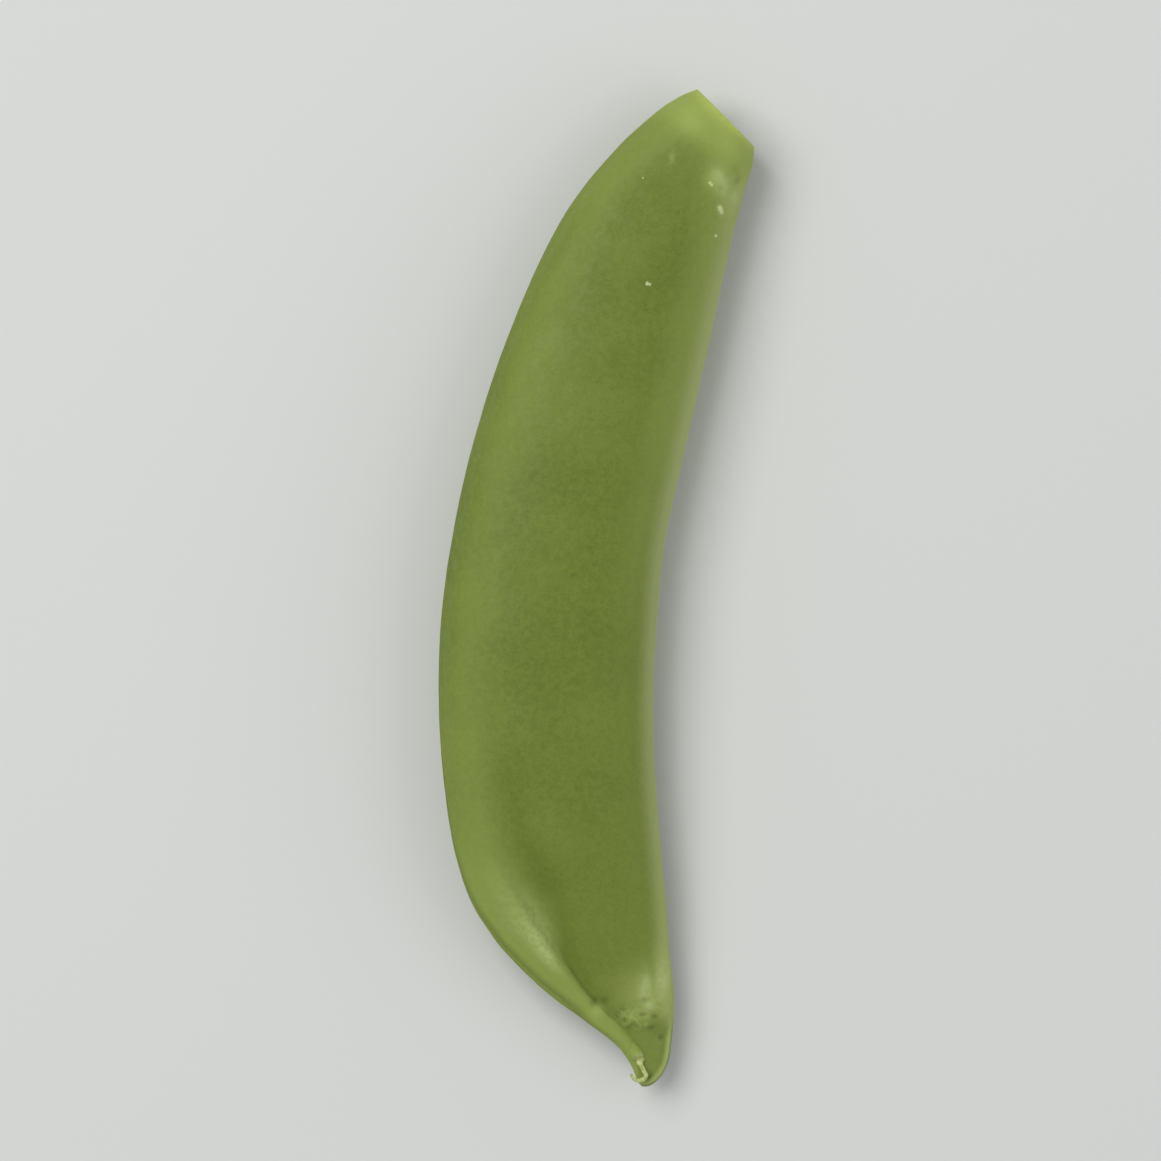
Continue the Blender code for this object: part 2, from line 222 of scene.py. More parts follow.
# Painted light and shade of the tip: the rim is painted lighter, its crease and the hollow beside it are
# painted darker, and its crest gets a painted highlight.
# Where the colours of the outer rim lie. Names with Y are places along the pod, in the same plan. The
# others are places across the rim: 0 is the pod's edge, and 1 is where the rim ends.
RIM_CRISP_Y = (-31, -26)  # towards the tip its colours get crisp
RIM_SOFT_EDGE = (0.25, 1.65)
RIM_CRISP_EDGE = (0.85, 1.05)
CREASE_PLACE, CREASE_HALF_WIDTH = 1.05, 0.06  # painted shade: a dark line in the crease beside the rim
VALLEY_PLACE, VALLEY_HALF_WIDTH = 1.3, 0.22  # painted shade in the hollow beyond it
CREST_START_Y = (-31.8, -29.8)  # a painted highlight lies along the rim's crest from here
CREST_END_Y = (-28.6, -19.0)  # to here
CREST_SPREAD_Y = (-30.5, -25.5)  # away from the tip the painted highlight spreads out
CREST_NARROW = (0.66, 0.13, 1.0)  # its place, half-width and strength by the tip
CREST_SPREAD = (0.76, 0.3, 0.7)  # and away from it

# Where the colours of the sides lie. Names with Y are places along the pod. LEAST, STRENGTH and LOSS are
# shares of a colour's full strength, and the others are distances from the outer or the inner edge.
INNER_SEAM_HALF_WIDTH, OUTER_SEAM_HALF_WIDTH = 0.12, 0.3  # of the dark lines in the seams; the outer one is partly painted shade where the edge turns away
INNER_SIDE_FADE = (0.4, 4.8)  # painted light: the face is lighter towards its inner edge
INNER_SIDE_Y = (-12, 20)  # and this painted light grows between these
INNER_SIDE_LEAST = 0.2  # its strength before that
OUTER_SIDE_RISE = (0.0, 1.5)  # a band of painted light beside the outer edge
OUTER_SIDE_FADE = (1.3, 5.0)
OUTER_SIDE_LEAST = 0.1  # its strength at the edge itself
OUTER_SIDE_STRENGTH = 0.64  # its strength away from the stem end
STEM_END_Y = (20, 31)  # near the stem end the band is full up to the edge, at its full strength
STEM_END_NARROWER = 1.5  # and this much narrower
EDGE_GLOW_FADE = (-0.1, 1.9)  # painted light along the inner edge, standing in for light coming through the skin
EDGE_GLOW_LOSS_Y = (20, 32)  # but less near the stem end
EDGE_GLOW_LOSS = 0.3  # by this share
NOSE_LINE_PLACE, NOSE_LINE_HALF_WIDTH = 0.32, 0.15  # a painted highlight along the nose's rim, by its inner edge
NOSE_LINE_STRENGTH = 0.95
NOSE_FACE_RISE = (0.6, 1.0)  # the nose's face starts here from its inner edge
NOSE_FACE_ACROSS = (1.0, 1.15)  # and here across the outer rim

# The colours near the cut, by the distance from it.
NECK_GLOWS = ((0.42, 1.8, 4.2), (0.3, 1.0, 9.0))  # strength, and where each starts and ends to fade
NECK_FADE = (0.0, 0.8)  # a blotched pale band
CUT_RIM_FADE = (0.1, 0.55)

# Display colours. A pair is mixed by noise.
SKIN_GREENS = ((99, 115, 37), (110, 126, 45))
MOTTLE_GREEN, GRAIN_GREEN = (124, 139, 58), (82, 98, 24)
CURL_GREEN, SPECK_COLOUR = (162, 177, 102), (210, 217, 164)
FLESH_COLOURS = ((176, 190, 118), (206, 214, 156))
DOT_GREEN = (120, 138, 64)
STYLE_GREENS = ((130, 147, 62), (148, 164, 80))
STRAW_COLOURS = ((160, 168, 98), (200, 206, 142))
FLOOR_GREY, FLOOR_ROUGHNESS = (212, 213, 209), 0.85

# Sizes of the noise that the colours and the bumps of the skin are made of.
PATCH_SIZE, MOTTLE_SIZE, GRAIN_SIZE = 9.0, 0.55, 0.2
CURL_SIZE, FLESH_SIZE, DOT_SIZE = 0.75, 0.5, 0.8
STRAW_SIZE, WAX_SIZE = 0.35, 1.4
SPECK_WAVE = (0.25, 0.12)  # the specks' uneven edges: size and reach
SPECK_SOFTNESS = 0.5  # how far their edges blur, as a share of their radius
COARSE_BUMP = (0.9, 0.02)  # size and height
FINE_BUMP = (0.22, 0.012)
STYLE_BUMP = (0.12, 0.02)

# Strengths of the colours that cover the skin in part.
MOTTLE_STRENGTH, GRAIN_STRENGTH = 0.45, 0.4
CURL_STRENGTH, SPECK_STRENGTH, DOT_STRENGTH = 0.6, 0.74, 0.35

# Tints of the skin, laid over its green one by one: mask, strength and display colour.
PLAIN_TINTS = (
    # painted light towards the inner edge
    ("inner_side_light", 0.62, (150, 165, 87)),
    # painted light in a band beside the outer edge
    ("outer_side_light", 0.42, (138, 154, 72)),
    # painted light along the inner edge, and a painted highlight on the nose's rim
    ("inner_edge_light", 0.52, (190, 200, 132)),
    # painted shade in the hollow beside the rim
    ("valley_shade", 0.35, (84, 100, 28)),
    # painted shade in the crease beside the rim
    ("crease_shade", 0.5, (70, 86, 22)),
    # painted light on the raised rim towards the tip
    ("rim", 0.6, (152, 168, 84)),
    # the seams' own dark lines, with painted shade along the outer edge
    ("seam_line_and_shade", 0.35, (78, 94, 30)),
    ("soft_patch", 0.65, (158, 172, 92)),
    ("nose", 0.35, (134, 148, 76)),
)
# Tints broken up by noise, with three values more: the noise's size, its values between which the tint
# rises, and the tint's least share.
BROKEN_TINTS = (
    # painted highlight along the rim's crest
    ("crest_highlight", 0.55, (190, 203, 138), 0.4, (0.34, 0.6), 0.5),
    ("scuffed", 0.6, (186, 197, 138), 0.7, (0.3, 0.6), 0.45),
    # painted shade in the pits
    ("pit_shade", 0.62, (72, 88, 26), 0.16, (0.35, 0.6), 0.25),
)
# Tints of the same kinds near the cut, and of the cut flesh.
NECK_GLOW_TINT = ("neck_glow", 1.0, (152, 168, 82))
NECK_TINT = ("neck", 0.65, (174, 188, 84), 1.1, (0.36, 0.6), 0.25)
CUT_RIM_TINT = ("cut_rim", 0.15, (190, 198, 120))
CUT_MIDDLE_TINT = ("cut_middle", 0.5, (142, 160, 84))

SKIN_ROUGHNESS, STYLE_ROUGHNESS = (0.5, 0.62), 0.55
SPECULAR = 0.24
SUBSURFACE = 0.2
DEEP_COLOUR = (0.7, 1.0, 0.3)  # how far light of each colour goes under the skin
SKIN_DEPTH, STYLE_DEPTH = 1.0, 0.5  # times this
SHEEN, SHEEN_ROUGHNESS, SHEEN_COLOUR = 0.03, 0.5, (0.9, 1.0, 0.6, 1.0)

FLOOR_HALF_WIDTH = 3.0  # in metres, as the places and sizes below
KEY_LIGHT = ((-0.32, 0.2, 0.6), 0.45, 3.1)  # place, size and watts
FILL_LIGHT = ((0.5, 0.0, 0.45), 0.6, 0.7)
ROOM_COLOUR = (0.95, 0.97, 1.0, 1.0)
ROOM_STRENGTH = 0.46
CAMERA_ROLL = radians(5.1)
CAMERA_LENS = 200.0  # in mm
CAMERA_HEIGHT = 0.517
CAMERA_REACH = (0.01, 10.0)


def linear(display):
    """A shader colour from an 8-bit display colour."""
    share = np.array(display) / 255
    colour = np.where(share <= 0.04045, share / 12.92, ((share + 0.055) / 1.055) ** 2.4)
    return (*colour.tolist(), 1.0)


def bell(distance, half_width):
    """1 at no distance, and a smooth fall to 0 on both sides."""
    return np.exp(-0.5 * (distance / half_width) ** 2)


def ease(low, high, value):
    """0 below low, 1 above high, and a smooth rise between them."""
    share = np.clip((value - low) / (high - low), 0, 1)
    return share * share * (3 - 2 * share)


def fade(low, high, value):
    """1 below low, 0 above high, and a smooth fall between them."""
    return 1 - ease(low, high, value)


def between(first, second, share):
    """Each pair of values mixed: all of the first at share 0, and all of the second at 1."""
    return [start + (end - start) * share for start, end in zip(first, second)]


def unit(vectors):
    """The vectors made 1 long."""
    return vectors / np.linalg.norm(vectors, axis=-1, keepdims=True)


def directions(line):
    """The unit direction of a line at each of its points."""
    return unit(np.gradient(line, axis=0))


# The pod's sections


def smooth_through(rows, steps):
    """A Catmull-Rom curve through the rows, with so many steps from each row to the next."""
    rows = np.asarray(rows, float)
    before = np.vstack([2 * rows[0] - rows[1], rows[:-2]])
    after = np.vstack([rows[2:], 2 * rows[-1] - rows[-2]])
    start, end = rows[:-1, None], rows[1:, None]
    leave = (rows[1:] - before)[:, None] / 2
    arrive = (after - rows[:-1])[:, None] / 2
    share = (np.arange(steps) / steps)[None, :, None]
    curve = (
        start * (2 * share**3 - 3 * share**2 + 1)
        + leave * (share**3 - 2 * share**2 + share)
        + end * (3 * share**2 - 2 * share**3)
        + arrive * (share**3 - share**2)
    )
    return np.vstack([curve.reshape(-1, rows.shape[1]), rows[-1:]])


def middle_travel(stations):
    """How far each station is from the first, along the pod's middle line."""
    middle = (stations[:, :2] + stations[:, 2:4]) / 2
    step = np.linalg.norm(np.diff(middle, axis=0), axis=1)
    return np.concatenate([[0], np.cumsum(step)])


def all_stations():
    """Stations spaced for the fine mesh, and how far along the body ends and the nose starts."""
    dense = smooth_through(STATIONS, DENSE_STEPS)
    travelled = middle_travel(dense)
    spacing = np.interp(travelled[1:], *np.array(RING_SPACING).T)
    count = np.concatenate([[0], np.cumsum(np.diff(travelled) / spacing)])
    places = np.linspace(0, count[-1], int(count[-1]))
    stations = np.stack([np.interp(places, count, column) for column in dense.T], axis=1)
    body_end, nose_start = (travelled[DENSE_STEPS * number] for number in (BODY_END, NOSE_START))
    return stations, body_end, nose_start


class Sections:
    """The pod's sections, one row each: its place, its width, and how far along the pod it is."""

    def __init__(self):
        stations, self.body_end, self.nose_start = all_stations()
        self.outer, self.inner, self.thickness, self.rim_radius = np.split(stations, (2, 4, 5), axis=1)
        self.middle = (self.outer + self.inner) / 2
        width_line = self.inner - self.outer
        self.half_width = np.linalg.norm(width_line, axis=1, keepdims=True) / 2
        self.inwards = width_line / (2 * self.half_width)
        self.travelled = middle_travel(stations)[:, None]
        self.tip_start = TIP_START * self.body_end
        self.in_body = fade(self.body_end, self.nose_start, self.travelled)
        lift = STEM_LIFT * fade(0, STEM_LENGTH, self.travelled)
        drop = TIP_DROP * ease(DROP_START * self.body_end, self.travelled[-1], self.travelled)
        self.level = lift - drop

    def ease_along(self, low, high):
        return ease(low, high, self.travelled)

    def fade_along(self, low, high):
        return fade(low, high, self.travelled)

    def squareness(self, edge):
        """How squarely the sections meet an edge: 1 where square to it, less where aslant."""
        along = directions(edge)
        share = np.abs(along[:, :1] * self.inwards[:, 1:] - along[:, 1:] * self.inwards[:, :1])
        return np.clip(share, LEAST_SQUARENESS, 1)

    def from_edge(self, edge, ring_x):
        """Each point's distance from an edge, square to it, and the edge's row nearest to it."""
        along = directions(edge)
        distance, nearest = np.empty_like(ring_x), np.empty(ring_x.shape, int)
        for row, (middle, inwards) in enumerate(zip(self.middle, self.inwards)):
            points = middle + ring_x[row][:, None] * inwards
            apart = points[:, None] - edge[None]
            closest = np.argmin((apart**2).sum(2), axis=1)
            gap, line = apart[np.arange(len(points)), closest], along[closest]
            distance[row] = np.abs(gap[:, 0] * line[:, 1] - gap[:, 1] * line[:, 0])
            nearest[row] = closest
        return distance, nearest


def ring_of_section():
    """Positions round a section, from -1 at its outer edge to 1 at its inner one, and which face."""
    turn = 2 * pi * np.arange(RING_POINTS) / RING_POINTS
    turn = turn - SEAM_CROWDING / 2 * np.sin(2 * turn)
    return np.cos(turn)[None], np.sign(np.round(np.sin(turn), 9))[None]


def rim_height(from_edge, radius, skew=1):
    """Half the height of a round rim at a distance from the pod's edge."""
    share = np.clip(from_edge / np.maximum(2 * radius, 1e-6), 0, 1) ** skew
    return 2 * radius * np.sqrt(share - share**2)


def pea_swell(pod, ring_x):
    """How much the peas raise each face."""
    swell = 0
    for pea in range(PEA_COUNT):
        swell = swell + bell(pod.travelled - FIRST_PEA - pea * PEA_PITCH, PEA_HALF_LENGTH)
    return PEA_SWELL * swell * bell(ring_x, PEA_HALF_WIDTH)


class Places:
    """Where each point of the mesh is on the pod, for the shape and for the masks of the material."""

    def __init__(self, pod, across):
        self.across = across
        self.ring_x = pod.half_width * across
        self.from_outer, nearest = pod.from_edge(pod.outer, self.ring_x)
        self.from_inner, _ = pod.from_edge(pod.inner, self.ring_x)
        self.along_edge = pod.travelled[nearest, 0]
        self.widest = (self.from_outer + self.from_inner) / 2
        self.rim_radius = np.minimum(pod.rim_radius[nearest, 0], self.widest)
        self.in_tip = ease(pod.tip_start, pod.body_end, self.along_edge)


def half_thickness(pod, at):
    """Half the thickness at each place across each section: the fullest of its faces and its two rims."""
    faces = pod.thickness / 2 * (1 - np.abs(at.across) ** FACE_POWER) ** (1 / FACE_POWER)
    faces = faces + pod.in_body * (1 - at.across**PEA_EDGE_POWER) * pea_swell(pod, at.ring_x)
    beside_rim = fade(2 * at.rim_radius, 2 * at.rim_radius + HOLLOW_WIDTH, at.from_outer)
    faces = faces * (1 - HOLLOW_SHARE * np.maximum(at.in_tip * beside_rim, 1 - pod.in_body))
    outer_rim = rim_height(at.from_outer, at.rim_radius, 1 + (RIM_SKEW - 1) * at.in_tip * pod.in_body)
    inner_radius = NOSE_RIM_RADIUS + (INNER_RIM_RADIUS - NOSE_RIM_RADIUS) * pod.in_body
    inner_rim = rim_height(at.from_inner, np.minimum(inner_radius, at.widest))
    power = RIM_BLEND_POWER + (TIP_BLEND_POWER - RIM_BLEND_POWER) * at.in_tip
    return (faces**power + outer_rim**power + inner_rim**power) ** (1 / power)


def seam_relief(distance, ribs):
    """The height of a seam's ribs at each distance round the section from its line."""
    relief = 0
    for place, height, half_width in ribs:
        relief = relief + height * bell(np.abs(distance) - place, half_width)
    return relief


def distance_round(ring_x, ring_z, start):
    """Distance round each closed ring from the point numbered start: over the upper face, or below 0."""
    step = np.hypot(np.roll(ring_x, -1, 1) - ring_x, np.roll(ring_z, -1, 1) - ring_z)
    step = np.roll(step, -start, 1)
    one_way = np.cumsum(step, 1) - step
    whole = step.sum(1, keepdims=True)
    distance = np.roll(np.where(one_way < whole / 2, one_way, one_way - whole), start, 1)
    return distance if start == 0 else -distance


def raise_seams(pod, at, ring_x, ring_z):
    """Moves each ring's points outwards by the relief of the two seams, and keeps where the seams are."""
    along_x = np.roll(ring_x, -1, 1) - np.roll(ring_x, 1, 1)
    along_z = np.roll(ring_z, -1, 1) - np.roll(ring_z, 1, 1)
    length = np.hypot(along_x, along_z)
    at.round_inner = distance_round(ring_x, ring_z, 0) * pod.squareness(pod.inner)
    at.round_outer = distance_round(ring_x, ring_z, RING_POINTS // 2) * pod.squareness(pod.outer)
    climb = pod.ease_along(pod.tip_start, pod.body_end) * pod.in_body
    at.round_outer = at.round_outer - SEAM_CLIMB * climb
    lost = pod.ease_along(INNER_SEAM_FADE_START * pod.body_end, pod.nose_start)
    at.inner_strength = 1 - INNER_SEAM_LOSS * lost
    fading, gone = pod.travelled[-1] - np.reshape(SEAMS_END, (2, 1))
    at.outer_strength = pod.fade_along(pod.nose_start, fading)
    relief = at.inner_strength * seam_relief(at.round_inner, INNER_SEAM)
    relief = relief + at.outer_strength * seam_relief(at.round_outer, OUTER_SEAM)
    relief = relief * pod.fade_along(fading, gone)
    return ring_x + relief * along_z / length, ring_z - relief * along_x / length


def pod_rings(pod, at, face):
    """The pod's surface as rings of points, before it is laid down."""
    ring_x, ring_z = raise_seams(pod, at, at.ring_x, half_thickness(pod, at) * face)
    twist = TIP_TWIST * pod.ease_along(pod.tip_start, pod.nose_start)
    sideways = ring_x * np.cos(twist) + ring_z * np.sin(twist)
    upwards = ring_z * np.cos(twist) - ring_x * np.sin(twist) + pod.level
    plan = pod.middle[:, None] + sideways[..., None] * pod.inwards[:, None]
    slant = CUT_SLANT * pod.fade_along(0, CUT_SLANT_LENGTH) * (upwards - pod.level)
    stemwards = np.stack([-pod.inwards[:, 1], pod.inwards[:, 0]], axis=1)
    plan = plan - slant[..., None] * stemwards[:, None]
    return np.concatenate([plan, upwards[..., None]], axis=2)


def style_rings(pod):
    """The dried style as a round tube with a slightly shrivelled skin, before it is laid down."""
    line = smooth_through(STYLE, STYLE_STEPS)
    points, radius = line[:, :3].copy(), line[:, 3:]
    nearest = [np.argmin(((pod.middle - point[:2]) ** 2).sum(1)) for point in points]
    points[:, 2] += pod.level[nearest, 0]
    along = directions(points)
    side = unit(np.cross(along, (0, 0, 1)))
    over = np.cross(side, along)
    turn = 2 * pi * np.arange(STYLE_POINTS) / STYLE_POINTS
    ripples = np.sin(SHRIVEL_RIPPLES * turn + SHRIVEL_TURN * np.arange(len(points))[:, None])
    reach = radius * (1 + SHRIVEL_DEPTH * ripples * ease(*SHRIVEL_RADII, radius))
    outwards = np.cos(turn)[:, None] * side[:, None] + np.sin(turn)[:, None] * over[:, None]
    return points[:, None] + reach[..., None] * outwards


def lean(points):
    """Leans the pod over towards its inner edge."""
    x, y, z = np.moveaxis(points, -1, 0)
    cosine, sine = np.cos(ROLL), np.sin(ROLL)
    return np.stack([x * cosine + z * sine, y, z * cosine - x * sine], axis=-1)


def resting_shift(leant):
    """The move that sets the leant pod on the floor, a little sunk in, and centres its box."""
    low, high = leant.min((0, 1)), leant.max((0, 1))
    return -np.array([(low[0] + high[0]) / 2, (low[1] + high[1]) / 2, low[2] + REST_DEPTH])


# Small forms


def outward_normals(surface):
    """Unit normals of the rings' surface."""
    round_ring = np.roll(surface, -1, 1) - np.roll(surface, 1, 1)
    along = np.gradient(surface, axis=0)
    normal = np.cross(round_ring, along)
    return normal / np.maximum(np.linalg.norm(normal, axis=2, keepdims=True), 1e-9)


def field(surface, size):
    """Smooth noise between -1 and 1 over the surface, with bumps of about the size."""
    points = surface.reshape(-1, 3) / size + SEED_SHIFT
    values = [noise.noise(Vector(point)) for point in points]
    return np.array(values).reshape(surface.shape[:2])


def marked(surface, face, marks):
    """How much each point of the upper face is inside any of the marks, from 0 to 1."""
    share = np.zeros(surface.shape[:2])
    for x, y, half_width, half_length, turn in marks:
        away_x, away_y = surface[..., 0] - x, surface[..., 1] - y
        cosine, sine = np.cos(radians(turn)), np.sin(radians(turn))
        across = away_x * cosine + away_y * sine
        along = away_y * cosine - away_x * sine
        share = np.maximum(share, bell(np.hypot(across / half_width, along / half_length), 1.0))
    return share * (face > 0)


def roughen(pod, surface, face):
    """Adds the slight waves, dimples and pits that grew in the skin. The resting spot stays flat."""
    waves = WAVE_HEIGHT * field(surface, WAVE_SIZE) + DIMPLE_HEIGHT * field(surface, DIMPLE_SIZE)
    clear_of_floor = ease(*ROUGH_FROM, surface[..., 2])
    height = waves * pod.in_body * clear_of_floor - PIT_DEPTH * marked(surface, face, PITS)
    rough = surface + outward_normals(surface) * height[..., None]
    rough[..., 2] = np.maximum(rough[..., 2], 0)
    return rough


# The mesh and its masks

# Rings of the cut face, from its middle outwards: share of the section, depth below the cut, and how
# much of the darker middle's colour.
CUT_PROFILE = (
    (0.2, 0.44, 1.0),
    (0.4, 0.42, 1.0),
    (0.6, 0.38, 0.9),
    (0.72, 0.3, 0.75),
    (0.78, 0.12, 0.35),
    (0.84, 0.03, 0.0),
    (0.9, 0.0, 0.0),
    (0.955, -0.04, 0.15),
    (0.985, -0.05, 0.7),
)


def cut_face_rings(first, second):
    """Rings inside the trimmed end: a shallow floor, the wall's cut flesh, and a rounded lip."""
    centre = first.mean(0)
    inwards = second.mean(0) - centre
    inwards /= np.linalg.norm(inwards)
    return [centre + (first - centre) * share + inwards * depth for share, depth, _ in CUT_PROFILE]


def loft(name, rings):
    """One closed mesh through the rings, with each end closed by a fan."""
    count, size = rings.shape[:2]
    ends = rings[[0, -1]].mean(1)
    points = np.vstack([rings.reshape(-1, 3), ends])
    i, j = np.arange(size), (np.arange(size) + 1) % size
    start = (np.arange(count - 1) * size)[:, None]
    quads = np.stack([start + i, start + j, start + size + j, start + size + i], axis=2).reshape(-1, 4)
    first_hub, last_hub = count * size, count * size + 1
    last = (count - 1) * size
    first_fan = np.stack([j, i, np.full(size, first_hub)], axis=1)
    last_fan = np.stack([last + i, last + j, np.full(size, last_hub)], axis=1)
    mesh = bpy.data.meshes.new(name)
    mesh.from_pydata(points.tolist(), [], [*quads.tolist(), *first_fan.tolist(), *last_fan.tolist()])
    mesh.shade_smooth()
    mesh.validate()
    return mesh


def store(mesh, name, values):
    """Stores a value from 0 to 1 for each point of the mesh."""
    attribute = mesh.attributes.new(name, "FLOAT", "POINT")
    attribute.data.foreach_set("value", np.clip(values, 0, 1).astype(np.float32))


def add_mask(mesh, name, rings, cut=0.0):
    """Stores a value for each point of the surface, and one for the cut face or each of its rings."""
    cut = np.broadcast_to(np.reshape(cut, (-1, 1)), (len(CUT_PROFILE), RING_POINTS))
    rings = np.broadcast_to(rings, (len(rings), RING_POINTS))
    store(mesh, name, np.concatenate([cut.ravel(), rings.ravel(), [cut[0, 0], rings[-1, -1]]]))


def add_rim_masks(mesh, pod, at, y, face):
    across = at.from_outer / (2 * at.rim_radius)
    crisp = fade(*RIM_CRISP_Y, y)
    # painted light on the rim band, where it faces the light
    add_mask(mesh, "rim", fade(*between(RIM_SOFT_EDGE, RIM_CRISP_EDGE, crisp), across) * at.in_tip)
    # painted shade in the crease beside the rim
    add_mask(mesh, "crease_shade", bell(across - CREASE_PLACE, CREASE_HALF_WIDTH) * crisp * pod.in_body)
    # painted shade in the hollow beyond the rim
    add_mask(mesh, "valley_shade", bell(across - VALLEY_PLACE, VALLEY_HALF_WIDTH) * at.in_tip * pod.in_body)
    # a painted highlight along the rim's crest, broken up by noise
    place, half_width, strength = between(CREST_NARROW, CREST_SPREAD, ease(*CREST_SPREAD_Y, y))
    crest_highlight = bell(across - place, half_width) * strength * at.in_tip
    crest_highlight = crest_highlight * ease(*CREST_START_Y, y) * fade(*CREST_END_Y, y) ** 2
    add_mask(mesh, "crest_highlight", crest_highlight * (face > 0))
    nose_face = ease(*NOSE_FACE_ACROSS, across) * ease(*NOSE_FACE_RISE, at.from_inner)
    add_mask(mesh, "nose", nose_face * (1 - pod.in_body))


def add_side_masks(mesh, pod, at, y):
    # the seams' own dark lines, with painted shade where the outer edge turns away
    outer_seam = bell(at.round_outer, OUTER_SEAM_HALF_WIDTH) * at.outer_strength
    inner_seam = bell(at.round_inner, INNER_SEAM_HALF_WIDTH) * at.inner_strength
    add_mask(mesh, "seam_line_and_shade", np.maximum(outer_seam, inner_seam))
    # painted light towards the inner edge
    along_inner = INNER_SIDE_LEAST + (1 - INNER_SIDE_LEAST) * ease(*INNER_SIDE_Y, y)
    add_mask(mesh, "inner_side_light", fade(*INNER_SIDE_FADE, at.from_inner) * along_inner * pod.in_body)
    # a band of painted light beside the outer edge
    by_stem = ease(*STEM_END_Y, y)
    rise = np.maximum(ease(*OUTER_SIDE_RISE, at.from_outer), by_stem)
    band = OUTER_SIDE_LEAST + (1 - OUTER_SIDE_LEAST) * rise
    start, end = OUTER_SIDE_FADE
    band = band * fade(start, end - STEM_END_NARROWER * by_stem, at.from_outer)
    band = band * (OUTER_SIDE_STRENGTH + (1 - OUTER_SIDE_STRENGTH) * by_stem)
    add_mask(mesh, "outer_side_light", band * (1 - at.in_tip))
    # painted light along the inner edge, and a painted highlight on the nose's rim
    glow = fade(*EDGE_GLOW_FADE, at.from_inner) * (1 - EDGE_GLOW_LOSS * ease(*EDGE_GLOW_LOSS_Y, y))
    nose_rim_highlight = NOSE_LINE_STRENGTH * bell(at.from_inner - NOSE_LINE_PLACE, NOSE_LINE_HALF_WIDTH)
    add_mask(mesh, "inner_edge_light", glow * pod.in_body + nose_rim_highlight * (1 - pod.in_body))


def add_end_masks(mesh, pod):
    """Masks of the skin near the cut, and of the cut face."""
    glow = sum(strength * pod.fade_along(start, end) for strength, start, end in NECK_GLOWS)
    add_mask(mesh, "neck_glow", glow, 1.0)
    add_mask(mesh, "neck", pod.fade_along(*NECK_FADE), 1.0)
    add_mask(mesh, "cut_rim", pod.fade_along(*CUT_RIM_FADE), 1.0)
    none = np.zeros_like(pod.travelled)
    add_mask(mesh, "flesh", none, 1.0)
    add_mask(mesh, "cut_middle", none, [middle for *_, middle in CUT_PROFILE])


def add_masks(mesh, pod, at, surface, face):
    y = surface[..., 1]
    add_rim_masks(mesh, pod, at, y, face)
    add_side_masks(mesh, pod, at, y)
    add_end_masks(mesh, pod)
    add_mask(mesh, "upper", np.maximum(face, 0) * np.ones_like(y))
    # the pits' dark tint is painted shade in them
    kinds = {"soft_patch": SOFT_PATCHES, "scuffed": SCUFFS, "pit_shade": PITS, "curly": CURLY}
    for name, marks in kinds.items():
        add_mask(mesh, name, marked(surface, face, marks))


def add_dry_mask(mesh, rings):
    """Marks how dry the style is: green where it leaves the cord, with a pale scar on its upper side."""
    number = np.arange(len(rings))[:, None] / STYLE_STEPS
    scar = rings[SCAR_POINT * STYLE_STEPS].mean(0) + SCAR_SHIFT
    on_scar = bell(np.linalg.norm(rings - scar, axis=2), SCAR_RADIUS)
    dry = np.maximum(ease(*DRY_FROM, number), on_scar)
    store(mesh, "dry", np.concatenate([dry.ravel(), [0, 1]]))


# Materials


